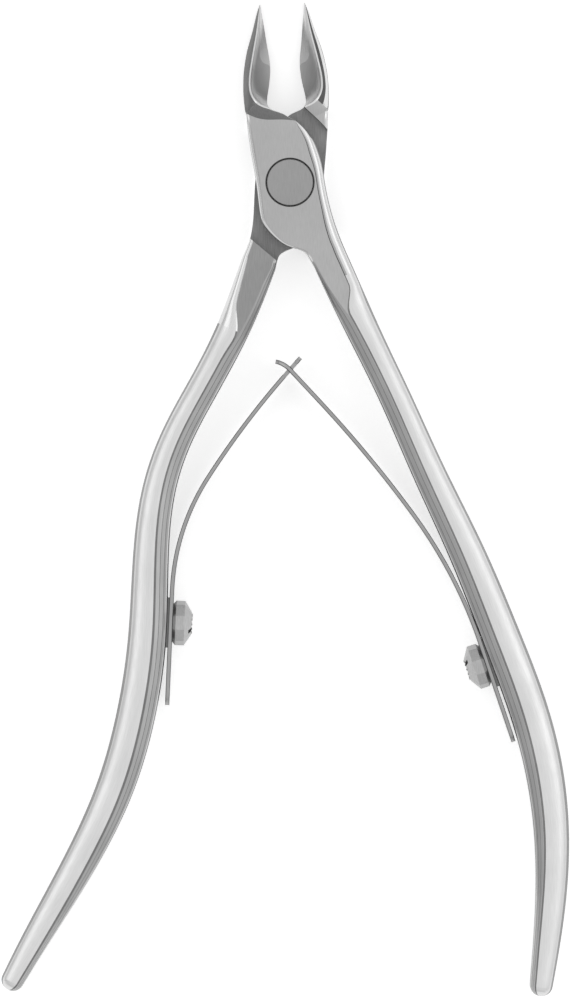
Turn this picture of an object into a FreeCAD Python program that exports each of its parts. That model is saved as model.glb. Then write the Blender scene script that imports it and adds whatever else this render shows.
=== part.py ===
"""Cuticle nipper: two forged halves on a lap joint, a pivot screw, two leaf springs and their screws.

Millimetres. The nipper lies on its back on the plane z = 0, with the pivot axis on Z, the jaws towards +Y
and the handles towards -Y. Each half is drawn in its own closed frame, where its cutting edge lies along
the Y axis and its jaw is on the -X side, and its Placement turns it open. The rear half is the mirror
image of that drawing.
"""

import FreeCAD, Part
import math
import os
from FreeCAD import Placement, Rotation, Vector

SIZES = {
    # the lap joint
    "joint_thickness": 5.5,
    "lap_gap": 0.06,
    "jaw_rise": 0.5,
    "jaw_reach": 21.85,
    "tip_thickness": 1.5,
    "edge_relief": 0.04,
    "hollow_radius": 4.25,
    "hollow_tip_radius": 1.25,
    # how far each half is turned from closed, in degrees
    "front_lean": 9.3,
    "rear_lean": 4.4,
    # the handles
    "front_reach": 100.9,
    "rear_reach": 98.9,
    "neck_width": 4.2,
    "waist_width": 3.75,
    "grip_width": 4.65,
    "end_width": 2.6,
    "end_thickness": 4.4,
    "inner_bevel": 1.0,
    "outer_round": 1.3,
    # the pivot screw
    "head_radius": 2.78,
    "head_height": 1.6,
    "head_play": 0.1,
    "head_lift": 0.03,
    "shank_radius": 2.0,
    "shank_play": 0.03,
    "foot_radius": 1.45,
    "foot_play": 0.02,
    "slot_width": 0.6,
    "slot_depth": 0.7,
    # the leaf springs
    "leaf_thickness": 0.5,
    "leaf_width": 4.4,
    "leaf_tip_width": 3.3,
    "hook_distance": 22.4,
    "leaf_tail": 9.9,
    "seat_half": 3.0,
    "seat_width": 3.4,
    "seat_rise": 0.2,
    "front_seat_turn": -2.4,
    "rear_seat_turn": 0.1,
    "front_seat": 60.6,
    "rear_seat": 53.7,
    "front_lift": 2.5,
    "rear_lift": 3.9,
    "front_bend": 57.0,
    "rear_bend": 27.0,
    "front_ease": 150.0,
    "rear_ease": 105.0,
    "front_ease_turn": 6.7,
    "rear_ease_turn": 8.6,
    "curl_radius": 3.2,
    "curl_turn": 36.0,
    "window_width": 1.8,
    "window_length": 2.4,
    "neck_depth": 1.4,
    "neck_length": 2.2,
    "hook_length": 1.9,
    # the spring screws
    "button_radius": 2.68,
    "button_height": 2.35,
    "button_foot_radius": 2.1,
    "button_foot_height": 0.35,
    "button_crown": 0.7,
    "stem_radius": 1.0,
    "stem_play": 0.02,
    "stem_length": 2.6,
    "stem_room": 0.1,
}

# The half's outline, in the closed frame. Each run starts where the run before it ends. Above JAW_FOOT the
# points give their height as a share of the way from there to the tip, and below it as Y itself.
JAW_FOOT = 9.2
JAW_BACK = [(-0.72, 0.901), (-1.6, 0.735), (-2.55, 0.569), (-3.33, 0.379), (-3.78, 0.182)]
LAP_BACK = [(-3.93, 9.2), (-4.0, 6.6), (-4.02, 3.7), (-4.0, 0.8), (-4.12, -2.2), (-4.08, -3.9)]
HEEL = [(-3.72, -4.85), (-3.1, -5.85), (-2.3, -6.8), (-1.5, -7.45), (-0.45, -7.98), (0.25, -8.4),
        (0.7, -9.0)]
FRONT_FLANK = [(4.66, -6.51), (4.3, -4.0), (4.13, -0.8), (4.15, 1.6), (3.96, 3.36)]
REAR_FLANK = [(4.4, -7.6), (4.13, -5.97), (4.08, -4.0), (4.16, -1.2), (4.15, 1.6), (3.96, 3.36)]
LAP_HEAD = [(3.66, 4.75), (3.0, 5.67), (2.33, 6.6), (1.64, 7.36), (1.12, 7.72), (0.63, 8.15), (0.2, 8.49)]
NOTCH_FOOT = [(-0.42, 8.75), (-0.98, 9.26)]
NOTCH = [(-1.15, 0.047), (-1.07, 0.095), (-0.83, 0.158), (-0.6, 0.221), (-0.36, 0.285)]
EDGE_START = 0.419

# The recess that takes the other half's lap: its wall below the jaw, and its wall above the handle.
JAW_SHOULDER = [(-5.2, 5.45), (-3.9, 6.75), (-2.9, 7.65), (-1.9, 8.45), (-1.25, 8.95), (-0.6, 9.6)]
HANDLE_SHOULDER = [(6.5, -5.46), (0.3, -9.89)]
RECESS_REACH = 6.5

# Where the flat joint face ends below the jaw, whose rim stands higher.
FACE_END = [(-6.5, 11.0), (-3.24, 8.43), (-2.1, 7.97), (-0.56, 7.69), (0.5, 7.52), (3.5, 6.0)]
RIM_END = 0.03
HOLLOW_FOOT = (1.3, 0.269, 0.6)
HOLLOW_TIP = (1.4, 1.0)

# Handle centre lines: the share of the way from neck to end, and the distance out from the Y axis.
NECK_Y = 9.9
FRONT_LINE = [(0.0, 3.28), (0.1, 5.8), (0.187, 8.14), (0.299, 10.86), (0.41, 13.75), (0.522, 16.12),
              (0.634, 18.1), (0.746, 18.66), (0.854, 17.46), (0.957, 15.05), (0.988, 14.2)]
REAR_LINE = [(0.0, 2.98), (0.1, 5.75), (0.18, 8.82), (0.237, 11.03), (0.296, 12.56), (0.353, 13.16),
             (0.409, 13.19), (0.516, 12.9), (0.62, 13.54), (0.727, 15.56), (0.836, 19.39),
             (0.951, 24.3), (0.988, 25.8)]
WAIST_AT = 0.17
GRIP_AT = 0.6
THIN_FROM = 0.6
SOFT_BY = 0.14
NECK_BREAK = 0.15
HANDLE_STATIONS = 12
END_ANGLES = (0, 25, 45, 62, 75)
END_SOFT = 0.9
OPENING_REACH = 1.5
CLEAR = 30.0


def make_sheet(doc):
    sheet = doc.addObject("Spreadsheet::Sheet", "Sizes")
    for row, (alias, value) in enumerate(SIZES.items(), start=1):
        sheet.set(f"A{row}", alias)
        sheet.set(f"B{row}", str(value))
        sheet.setAlias(f"B{row}", alias)
    doc.recompute()
    return sheet


def size(name):
    return float(FreeCAD.ActiveDocument.Sizes.get(name))


def add_body(name):
    body = FreeCAD.ActiveDocument.addObject("PartDesign::Body", name)
    body.Label = name
    return body


def origin_plane(body, role):
    return next(f for f in body.Origin.OriginFeatures if f.Role == role)


def line(start, end):
    return Part.LineSegment(Vector(*start, 0), Vector(*end, 0))


def arc(start, middle, end):
    return Part.Arc(Vector(*start, 0), Vector(*middle, 0), Vector(*end, 0))


def through(points):
    curve = Part.BSplineCurve()
    curve.interpolate([Vector(*p, 0) for p in points])
    return curve


def loop(points):
    """Straight sides round the points, closed."""
    return [line(a, b) for a, b in zip(points, points[1:] + points[:1])]


def turned_by(vector, degrees):
    return Rotation(Vector(0, 0, 1), degrees).multVec(vector)


def add_sketch(body, name, curves, role="XY_Plane", height=0.0):
    sketch = body.newObject("Sketcher::SketchObject", name)
    sketch.AttachmentSupport = [(origin_plane(body, role), "")]
    sketch.MapMode = "FlatFace"
    sketch.AttachmentOffset = Placement(Vector(0, 0, height), Rotation())
    for curve in curves:
        sketch.addGeometry(curve, False)
    return sketch


def add_pad(body, name, sketch, formula):
    pad = body.newObject("PartDesign::Pad", name)
    pad.Profile = sketch
    pad.setExpression("Length", formula)
    return pad


def add_pocket(body, name, sketch, formula=None, up=False, both=False):
    """A cut from the sketch: down, up or to both sides, and right through where it has no formula."""
    pocket = body.newObject("PartDesign::Pocket", name)
    pocket.Profile = sketch
    pocket.Reversed = up
    pocket.Midplane = both
    if formula:
        pocket.setExpression("Length", formula)
    else:
        pocket.Type = 1
    FreeCAD.ActiveDocument.recompute()
    if not pocket.Shape.Volume < pocket.BaseFeature.Shape.Volume - 1e-6:
        raise ValueError(f"{name} cuts nothing")
    return pocket


def cut_cylinder(body, name, radius, height, centre, direction):
    """A round hole that starts at centre and runs along direction."""
    hole = body.newObject("PartDesign::SubtractiveCylinder", name)
    hole.setExpression("Radius", radius)
    hole.setExpression("Height", height)
    hole.Placement = Placement(centre, Rotation(Vector(0, 0, 1), direction))
    return hole


# ---- the two halves


def handle_line(shares, reach):
    """The handle's centre line as a curve, from the neck to near its round end."""
    run = reach - NECK_Y
    return through([(x, -NECK_Y - share * run) for share, x in shares])


def eased(share, start, stop):
    """0 before start, 1 after stop, and a smooth rise between."""
    at = min(max((share - start) / (stop - start), 0), 1)
    return (1 - math.cos(math.pi * at)) / 2


def handle_width(share):
    neck, waist, grip, end = (size(f"{k}_width") for k in ("neck", "waist", "grip", "end"))
    width = neck + (waist - neck) * eased(share, 0, WAIST_AT)
    width += (grip - waist) * eased(share, WAIST_AT, GRIP_AT)
    return width - (grip - end) * (max(share - GRIP_AT, 0) / (1 - GRIP_AT)) ** 2


def handle_thickness(share):
    joint, end = size("joint_thickness"), size("end_thickness")
    return joint - (joint - end) * eased(share, THIN_FROM, 1)


def station(shares, reach, at):
    """The centre, the way out and the share at a place along the handle, with at from 0 to 1."""
    centre = handle_line(shares, reach)
    parameter = centre.FirstParameter + (centre.LastParameter - centre.FirstParameter) * at
    point = centre.value(parameter)
    heading = centre.tangent(parameter)[0]
    out = Vector(-heading.y, heading.x, 0)
    share = (-point.y - NECK_Y) / (reach - NECK_Y)
    return point, out, share


def wall_points(shares, reach, stations=24):
    """Points down the handle's inner wall."""
    points = []
    for i in range(stations + 1):
        point, out, share = station(shares, reach, i / stations)
        wall = point - out * handle_width(share) / 2
        points.append((wall.x, wall.y))
    return points


def neck_corners(shares, reach):
    point, out, share = station(shares, reach, 0)
    inner = point - out * handle_width(share) / 2
    outer = point + out * handle_width(share) / 2
    return (inner.x, inner.y), (outer.x, outer.y)


def jaw_y(share):
    return JAW_FOOT + share * (size("jaw_reach") - JAW_FOOT)


def section(width, thickness, bevel, rounding, side):
    """A cut across the handle: bevelled on the inner wall and rounded on the outer one."""
    w, t = width / 2, thickness / 2
    soft = rounding * (1 - math.sqrt(0.5))
    inner = line((-w, -t + bevel), (-w, t - bevel))
    top_bevel = line((-w, t - bevel), (-w + bevel, t))
    top = line((-w + bevel, t), (w - rounding, t))
    top_round = arc((w - rounding, t), (w - soft, t - soft), (w, t - rounding))
    outer = line((w, t - rounding), (w, -t + rounding))
    low_round = arc((w, -t + rounding), (w - soft, -t + soft), (w - rounding, -t))
    low = line((w - rounding, -t), (-w + bevel, -t))
    low_bevel = line((-w + bevel, -t), (-w, -t + bevel))
    curves = [inner, top_bevel, top, top_round, outer, low_round, low, low_bevel]
    if side < 0:
        for curve in curves:
            curve.mirror(Vector(0, 0, 0), Vector(0, 1, 0))
    return curves


def add_section(body, name, point, out, middle, curves, side):
    """A sketch that stands across the handle at the point."""
    across_x = Vector(side * out.x, out.y, 0) * side
    normal = across_x.cross(Vector(0, 0, 1))
    turn = Rotation(across_x, Vector(0, 0, 1), normal, "XYZ")
    wanted = Placement(Vector(side * point.x, point.y, middle), turn)
    sketch = body.newObject("Sketcher::SketchObject", name)
    sketch.AttachmentSupport = [(origin_plane(body, "XZ_Plane"), "")]
    sketch.MapMode = "FlatFace"
    plane = Placement(Vector(0, 0, 0), Rotation(Vector(1, 0, 0), 90))
    sketch.AttachmentOffset = plane.inverse().multiply(wanted)
    for curve in curves:
        sketch.addGeometry(curve, False)
    return sketch


def add_loft(body, name, sketches, ruled):
    loft = body.newObject("PartDesign::AdditiveLoft", name)
    loft.Profile = sketches[0]
    loft.Sections = sketches[1:]
    loft.Ruled = ruled
    FreeCAD.ActiveDocument.recompute()
    return loft


def add_handle(body, side, shares, reach):
    """The handle, lofted through sections along its centre line, and its round end."""
    middle = size("joint_thickness") / 2
    sections = []
    for i in range(HANDLE_STATIONS + 1):
        point, out, share = station(shares, reach, i / HANDLE_STATIONS)
        soft = eased(share, 0, SOFT_BY)
        bevel = NECK_BREAK + (size("inner_bevel") - NECK_BREAK) * soft
        rounding = NECK_BREAK + (size("outer_round") - NECK_BREAK) * soft
        curves = section(handle_width(share), handle_thickness(share), bevel, rounding, side)
        sections.append(add_section(body, f"section_{i}", point, out, middle, curves, side))
    add_loft(body, "handle", sections, False)
    end, out, share = station(shares, reach, 1)
    heading = Vector(out.y, -out.x, 0)
    half = handle_width(share) / 2
    caps = []
    for i, lean in enumerate(END_ANGLES):
        point = end + heading * half * math.sin(math.radians(lean))
        scale = math.cos(math.radians(lean))
        shape = (2 * half * scale, handle_thickness(share) - half * (1 - scale),
                 size("inner_bevel") * scale * END_SOFT, size("outer_round") * scale * END_SOFT)
        caps.append(add_section(body, f"end_{i}", point, out, middle, section(*shape, side), side))
    return add_loft(body, "round_end", caps, True)


def joint_outline(shares, reach, flank, side):
    """The outline of the jaw and the joint, closed across the neck. side is -1 for the mirror image."""
    neck_in, neck_out = neck_corners(shares, reach)
    relief = -size("edge_relief")
    tip = (relief, jaw_y(1))
    edge_foot = (relief, jaw_y(EDGE_START))
    back = [(x, jaw_y(share)) for x, share in JAW_BACK]
    notch = [(x, jaw_y(share)) for x, share in NOTCH]
    runs = [
        [tip] + back + LAP_BACK,
        [LAP_BACK[-1]] + HEEL + [neck_in],
        [neck_in, neck_out],
        [neck_out] + flank,
        [flank[-1]] + LAP_HEAD,
        [LAP_HEAD[-1]] + NOTCH_FOOT + notch + [edge_foot],
        [edge_foot, tip],
    ]
    curves = []
    for run in runs:
        points = [(side * x, y) for x, y in run]
        curves.append(line(*points) if len(points) == 2 else through(points))
    return curves


def recess_outline(side):
    shoulder = [(side * x, y) for x, y in JAW_SHOULDER]
    reach = RECESS_REACH
    rest = [JAW_SHOULDER[-1], (2.5, 9.6), (reach, 5.0), HANDLE_SHOULDER[0], HANDLE_SHOULDER[1],
            (-reach, -9.89), (-reach, 5.45), JAW_SHOULDER[0]]
    rest = [(side * x, y) for x, y in rest]
    return [through(shoulder)] + [line(a, b) for a, b in zip(rest, rest[1:])]


def lower_joint_face(body, side):
    """The joint face, ground lower than the jaw's rim, with its end curved round the foot of the jaw."""
    end = [(side * x, y) for x, y in FACE_END]
    rest = [end[-1], (side * CLEAR, FACE_END[-1][1]), (side * CLEAR, -CLEAR), (-side * CLEAR, -CLEAR),
            (-side * CLEAR, FACE_END[0][1]), end[0]]
    curves = [through(end)] + [line(a, b) for a, b in zip(rest, rest[1:])]
    sketch = add_sketch(body, "joint_face", curves, height=size("joint_thickness"))
    add_pocket(body, "face_grind", sketch, up=True)


def slope_jaw(body):
    """The jaw's front slopes from its rim to the thin tip. The cut is drawn in side view."""
    top = size("joint_thickness") + size("jaw_rise")
    reach = jaw_y(1)
    tip = size("tip_thickness")
    profile = [(jaw_y(RIM_END), top), (reach, tip), (reach + CLEAR, tip), (reach + CLEAR, top + CLEAR),
               (jaw_y(RIM_END), top + CLEAR)]
    sketch = add_sketch(body, "jaw_side", loop(profile), "YZ_Plane")
    add_pocket(body, "jaw_slope", sketch, both=True)


def hollow_jaw(body, side):
    """The hollow ground into the jaw's front: a ball at its foot and a cone that narrows to the tip."""
    x, share, depth = HOLLOW_FOOT
    tip_x, tip_z = HOLLOW_TIP
    start = Vector(side * x, jaw_y(share), size("joint_thickness") - depth)
    end = Vector(side * tip_x, jaw_y(1), tip_z)
    ball = body.newObject("PartDesign::SubtractiveSphere", "hollow_foot")
    ball.setExpression("Radius", "Sizes.hollow_radius")
    ball.Placement = Placement(start, Rotation())
    cone = body.newObject("PartDesign::SubtractiveCone", "hollow_run")
    cone.setExpression("Radius1", "Sizes.hollow_radius")
    cone.setExpression("Radius2", "Sizes.hollow_tip_radius")
    cone.Height = (end - start).Length
    cone.Placement = Placement(start, Rotation(Vector(0, 0, 1), end - start))


def seat_frame(kind, shares, reach):
    """Where a leaf sits on a handle, in the closed frame: the point, the way up along it, the way out."""
    seat = size(f"{kind}_seat")
    wall = through(wall_points(shares, reach))
    level = Part.LineSegment(Vector(-CLEAR * 2, -seat, 0), Vector(CLEAR * 2, -seat, 0))
    hit = wall.intersect(level)[0]
    at = wall.parameter(Vector(hit.X, hit.Y, hit.Z))
    up = turned_by(wall.tangent(at)[0] * -1, size(f"{kind}_seat_turn"))
    away = Vector(-up.y, up.x, 0)
    point = wall.value(at) + away * size("seat_rise")
    return point, up, away


def add_seat(body, kind, side, shares, reach):
    """The flat boss on the inner wall under the leaf, and the threaded hole for the spring screw."""
    point, up, away = seat_frame(kind, shares, reach)
    half, root = size("seat_half"), away * handle_width(GRIP_AT) / 2
    corners = [point + up * half, point - up * half, point - up * half - root, point + up * half - root]
    bottom = size("joint_thickness") / 2 - size("seat_width") / 2
    flat = add_sketch(body, "seat", loop([(side * c.x, c.y) for c in corners]), height=bottom)
    add_pad(body, "seat_boss", flat, "Sizes.seat_width")
    FreeCAD.ActiveDocument.recompute()
    start = Vector(side * point.x, point.y, size("joint_thickness") / 2)
    into = Vector(-side * away.x, -away.y, 0)
    cut_cylinder(body, "screw_hole", "Sizes.stem_radius + Sizes.stem_play",
                 "Sizes.stem_length + Sizes.stem_room", start, into)


def make_half(kind, side, shares, reach, flank):
    """A half: its joint and jaw, its handle, and what is cut into them. side is -1 for the mirror image."""
    doc = FreeCAD.ActiveDocument
    body = add_body(f"{kind}_half")
    lean = size(f"{kind}_lean")
    outline = add_sketch(body, "outline", joint_outline(shares, reach, flank, side))
    add_pad(body, "blank", outline, "Sizes.joint_thickness + Sizes.jaw_rise")
    doc.recompute()
    lower_joint_face(body, side)
    slope_jaw(body)
    add_handle(body, side, shares, reach)
    hollow_jaw(body, side)
    lap = size("joint_thickness") / 2 + side * size("lap_gap") / 2
    recess = add_sketch(body, "recess", recess_outline(side), height=lap)
    add_pocket(body, "lap_recess", recess, up=side < 0)
    add_seat(body, kind, side, shares, reach)
    if side > 0:
        cut_cylinder(body, "shank_bore", "Sizes.shank_radius + Sizes.shank_play",
                     "Sizes.joint_thickness + Sizes.jaw_rise", Vector(0, 0, 0), Vector(0, 0, 1))
        cut_cylinder(body, "head_seat", "Sizes.head_radius + Sizes.head_play",
                     "Sizes.head_height + Sizes.jaw_rise",
                     Vector(0, 0, size("joint_thickness") - size("head_height")), Vector(0, 0, 1))
    else:
        cut_cylinder(body, "foot_bore", "Sizes.foot_radius + Sizes.foot_play",
                     "Sizes.joint_thickness", Vector(0, 0, -1), Vector(0, 0, 1))
    body.Placement = Placement(Vector(0, 0, 0), Rotation(Vector(0, 0, 1), side * lean))
    return body


# ---- the pivot screw


def turn_profile(body, profile):
    """A turned piece: the profile, drawn as radius and height, spun about the body's own Z axis."""
    sketch = add_sketch(body, "profile", loop(profile), "XZ_Plane")
    turned = body.newObject("PartDesign::Revolution", "turned")
    turned.Profile = sketch
    turned.ReferenceAxis = (sketch, ["V_Axis"])
    turned.Angle = 360
    FreeCAD.ActiveDocument.recompute()


def cut_slot(body, reach, height, up, depth=None):
    """A driver slot right across a face, drawn on the face or at its floor."""
    half = size("slot_width") / 2
    corners = [(-half, -reach), (half, -reach), (half, reach), (-half, reach)]
    sketch = add_sketch(body, "slot", loop(corners), height=height)
    add_pocket(body, "driver_slot", sketch, depth, up=up)


def make_joint_screw():
    """A flush head, a ground shank that the front half turns on, and a foot screwed into the rear half."""
    body = add_body("joint_screw")
    top = size("joint_thickness")
    under = top - size("head_height") + size("head_lift")
    step = top / 2 - size("lap_gap") / 2
    head, shank, foot = size("head_radius"), size("shank_radius"), size("foot_radius")
    profile = [(0, 0), (foot, 0), (foot, step), (shank, step), (shank, under), (head, under), (head, top),
               (0, top)]
    turn_profile(body, profile)
    cut_slot(body, foot + 1, 0, up=True, depth="Sizes.slot_depth")
    return body


# ---- the leaf springs


class Strip:
    """A bent strip seen edge on: it grows by straight and round runs, and keeps both of its faces."""

    def __init__(self, start, heading, thickness):
        self.point = start
        self.heading = heading
        self.half = thickness / 2
        self.left = []
        self.right = []

    def sides(self, point, heading):
        out = Vector(-heading.y, heading.x, 0) * self.half
        return point + out, point - out

    def straight(self, length):
        end = self.point + self.heading * length
        a, b = self.sides(self.point, self.heading), self.sides(end, self.heading)
        self.left.append((a[0], None, b[0]))
        self.right.append((a[1], None, b[1]))
        self.point = end

    def bend(self, radius, degrees):
        """Turns to the left by degrees, or to the right where degrees is negative."""
        sign = math.copysign(1, degrees)
        centre = self.point + Vector(-self.heading.y, self.heading.x, 0) * radius * sign
        stops = []
        for part in (0, 0.5, 1):
            point = centre + turned_by(self.point - centre, degrees * part)
            stops.append(self.sides(point, turned_by(self.heading, degrees * part)))
        self.left.append(tuple(s[0] for s in stops))
        self.right.append(tuple(s[1] for s in stops))
        self.point = centre + turned_by(self.point - centre, degrees)
        self.heading = turned_by(self.heading, degrees)

    def outline(self):
        def edge(a, b, c):
            return line((a.x, a.y), (c.x, c.y)) if b is None else arc((a.x, a.y), (b.x, b.y), (c.x, c.y))
        curves = [edge(*run) for run in self.left]
        last_left, last_right = self.left[-1][2], self.right[-1][2]
        curves.append(line((last_left.x, last_left.y), (last_right.x, last_right.y)))
        curves += [edge(*run) for run in self.right]
        first_left, first_right = self.left[0][0], self.right[0][0]
        curves.append(line((first_right.x, first_right.y), (first_left.x, first_left.y)))
        return curves


def offset_from(strip, target):
    """How far the target lies to the left of the strip's straight way on, and how far along it."""
    way = target - strip.point
    heading = strip.heading
    return heading.x * way.y - heading.y * way.x, way.dot(heading)


def leaf_strip(kind, shares, reach):
    """The leaf's path in the closed frame, from its tail to the hook, and the hook point.

    It lies along the seat, lifts off in a bend that eases out, and runs straight to the hook. The first
    bend's angle is found by halving, so that the straight run meets the hook.
    """
    point, up, away = seat_frame(kind, shares, reach)
    thickness = size("leaf_thickness")
    hook = turned_by(Vector(0, -size("hook_distance"), 0), -size(f"{kind}_lean"))
    low, high = 0.0, 90.0
    while high - low > 1e-7:
        turn = (low + high) / 2
        strip = Strip(point + away * thickness / 2 - up * size("leaf_tail"), up, thickness)
        strip.straight(size("leaf_tail") + size(f"{kind}_lift"))
        strip.bend(size(f"{kind}_bend"), turn)
        strip.bend(size(f"{kind}_ease"), size(f"{kind}_ease_turn"))
        left, run = offset_from(strip, hook)
        low, high = (turn, high) if left > 0 else (low, turn)
    strip.straight(run)
    return strip, hook


def across(point, heading, half_length):
    """The corners of a box round a stretch of the strip, in plan."""
    out = Vector(-heading.y, heading.x, 0) * OPENING_REACH
    along = heading * half_length
    corners = [point - along - out, point - along + out, point + along + out, point + along - out]
    return [(c.x, c.y) for c in corners]


def taper_leaf(body, tip_y, foot_y):
    """The strip narrows evenly from its seat to its hook, on both edges."""
    middle = size("joint_thickness") / 2
    wide, narrow = size("leaf_width") / 2, size("leaf_tip_width") / 2
    upper = [(foot_y, middle + wide), (tip_y, middle + narrow), (tip_y + CLEAR, middle + narrow),
             (tip_y + CLEAR, middle + wide + CLEAR), (foot_y, middle + wide + CLEAR)]
    lower = [(y, 2 * middle - z) for y, z in upper]
    sketch = add_sketch(body, "taper", loop(upper) + loop(lower), "YZ_Plane")
    add_pocket(body, "edge_taper", sketch, both=True)


def mirrored(curve):
    """The curve's mirror image in the Y axis."""
    first, last = curve.FirstParameter, curve.LastParameter
    start, middle, end = (curve.value(at) for at in (first, (first + last) / 2, last))
    if isinstance(curve, Part.LineSegment):
        return line((-start.x, start.y), (-end.x, end.y))
    return arc((-start.x, start.y), (-middle.x, middle.y), (-end.x, end.y))


def make_leaf(kind, side, shares, reach, windowed):
    """A strip spring: the windowed one curls over, and the other passes its neck through the window."""
    body = add_body(f"{kind}_leaf_spring")
    middle = size("joint_thickness") / 2
    lean = size(f"{kind}_lean")
    strip, hook = leaf_strip(kind, shares, reach)
    heading = strip.heading
    if windowed:
        strip.bend(size("curl_radius"), size("curl_turn"))
    else:
        strip.straight(size("hook_length"))
    curves = strip.outline()
    if side < 0:
        curves = [mirrored(curve) for curve in curves]
    outline = add_sketch(body, "edge_view", curves, height=middle - size("leaf_width") / 2)
    add_pad(body, "strip", outline, "Sizes.leaf_width")
    FreeCAD.ActiveDocument.recompute()
    point, up, away = seat_frame(kind, shares, reach)
    taper_leaf(body, hook.y, point.y)
    length = size("window_length") if windowed else size("neck_length")
    opening = loop([(side * x, y) for x, y in across(hook, heading, length / 2)])
    if windowed:
        sketch = add_sketch(body, "window", opening, height=middle)
        add_pocket(body, "hook_window", sketch, "Sizes.window_width", both=True)
    else:
        for label, way in (("upper", 1), ("lower", -1)):
            height = middle + way * size("neck_depth") / 2
            sketch = add_sketch(body, f"{label}_notch", opening, height=height)
            add_pocket(body, f"{label}_neck", sketch, up=way > 0)
    behind = point - away * size("leaf_thickness")
    start = Vector(side * behind.x, behind.y, middle)
    cut_cylinder(body, "screw_hole", "Sizes.stem_radius + Sizes.stem_play", "Sizes.leaf_thickness * 3",
                 start, Vector(side * away.x, away.y, 0))
    body.Placement = Placement(Vector(0, 0, 0), Rotation(Vector(0, 0, 1), side * lean))
    return body


# ---- the spring screws


def make_spring_screw(kind, side, shares, reach):
    """A button head on the leaf and a stem in the handle, turned about its own Z and laid on the seat."""
    body = add_body(f"{kind}_spring_screw")
    lean = size(f"{kind}_lean")
    button, foot, stem = size("button_radius"), size("button_foot_radius"), size("stem_radius")
    step, rise, crown = size("button_foot_height"), size("button_height"), size("button_crown")
    stem_end = -size("stem_length") - size("leaf_thickness")
    profile = [(0, stem_end), (stem, stem_end), (stem, 0), (foot, 0), (foot, step), (button, 2 * step),
               (button, rise - crown), (button - crown, rise), (0, rise)]
    turn_profile(body, profile)
    cut_slot(body, button + 1, rise - size("slot_depth"), up=True)
    point, up, away = seat_frame(kind, shares, reach)
    face = point + away * size("leaf_thickness")
    spot = turned_by(Vector(side * face.x, face.y, 0), side * lean)
    axis = turned_by(Vector(side * away.x, away.y, 0), side * lean)
    spot.z = size("joint_thickness") / 2
    body.Placement = Placement(spot, Rotation(Vector(0, 0, 1), axis))
    return body


# ---- build, check and write


def check(doc, bodies):
    for obj in doc.Objects:
        if "Invalid" in obj.State or "Error" in obj.State:
            raise ValueError(f"{obj.Label} failed: {obj.State}")
    for body in bodies:
        shape = body.Shape
        if shape.isNull() or not shape.isValid() or len(shape.Solids) != 1:
            raise ValueError(f"{body.Label} has no sound solid")


def main():
    doc = FreeCAD.newDocument("CuticleNipper")
    make_sheet(doc)
    front = (FRONT_LINE, size("front_reach"))
    rear = (REAR_LINE, size("rear_reach"))
    bodies = [
        make_half("front", 1, *front, FRONT_FLANK),
        make_half("rear", -1, *rear, REAR_FLANK),
        make_joint_screw(),
        make_leaf("front", 1, *front, windowed=True),
        make_leaf("rear", -1, *rear, windowed=False),
        make_spring_screw("front", 1, *front),
        make_spring_screw("rear", -1, *rear),
    ]
    doc.recompute()
    check(doc, bodies)
    os.makedirs("parts", exist_ok=True)
    for body in bodies:
        body.Shape.exportStep(f"parts/{body.Label}.step")
        box = body.Shape.BoundBox
        print(f"{body.Label}: {body.Shape.Volume:.1f} mm3, x {box.XMin:.2f}..{box.XMax:.2f}, "
              f"y {box.YMin:.2f}..{box.YMax:.2f}, z {box.ZMin:.2f}..{box.ZMax:.2f}")


main()
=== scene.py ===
# %% [markdown]
# # A cuticle nipper in satin steel
# This lesson builds the looks of a cuticle nipper around its engineering model. The nipper is two forged
# levers that cross on a lap joint, a flush pivot screw, and two leaf springs that hook together.
# Everything here is in metres and in the model's own frame: the pivot is the Z axis, the nipper lies on
# its back on z = 0, and the jaws point along +Y. Shapes are drawn in millimetres and scaled at the end.

# %% Load the model as a fixed frame
import bmesh
import bpy
import math
import numpy as np
from mathutils import Matrix, Vector


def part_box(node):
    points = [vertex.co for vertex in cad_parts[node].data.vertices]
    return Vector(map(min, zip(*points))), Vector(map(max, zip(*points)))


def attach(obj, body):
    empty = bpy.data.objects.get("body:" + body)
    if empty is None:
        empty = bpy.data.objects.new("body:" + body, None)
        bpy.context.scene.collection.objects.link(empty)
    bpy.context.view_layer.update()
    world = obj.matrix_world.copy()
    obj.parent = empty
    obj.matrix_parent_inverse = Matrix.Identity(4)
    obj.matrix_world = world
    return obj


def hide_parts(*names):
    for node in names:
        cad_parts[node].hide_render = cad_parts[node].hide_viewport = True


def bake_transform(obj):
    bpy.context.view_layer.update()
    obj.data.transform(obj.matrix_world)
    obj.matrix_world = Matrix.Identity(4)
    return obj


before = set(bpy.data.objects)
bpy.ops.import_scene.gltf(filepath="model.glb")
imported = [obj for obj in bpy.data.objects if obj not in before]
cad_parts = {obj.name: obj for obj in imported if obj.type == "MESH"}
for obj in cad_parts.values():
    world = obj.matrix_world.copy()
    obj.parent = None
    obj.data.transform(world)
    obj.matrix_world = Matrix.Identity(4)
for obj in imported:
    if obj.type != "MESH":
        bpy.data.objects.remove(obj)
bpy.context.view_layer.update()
MM = 0.001
TOP = round(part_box("joint_screw")[1].z / MM, 3)
MIDDLE = TOP / 2
print("joint thickness in mm:", TOP)

# %% [markdown]
# ## Curves through a few points
# A forging has long flowing lines. They could be drawn as Bezier curves by hand, but a cubic spline through
# a few measured points bends as little as it can, which is what a grinder's hand does too. Heights and
# widths use a second kind that never overshoots, so a flat stays flat.

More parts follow.
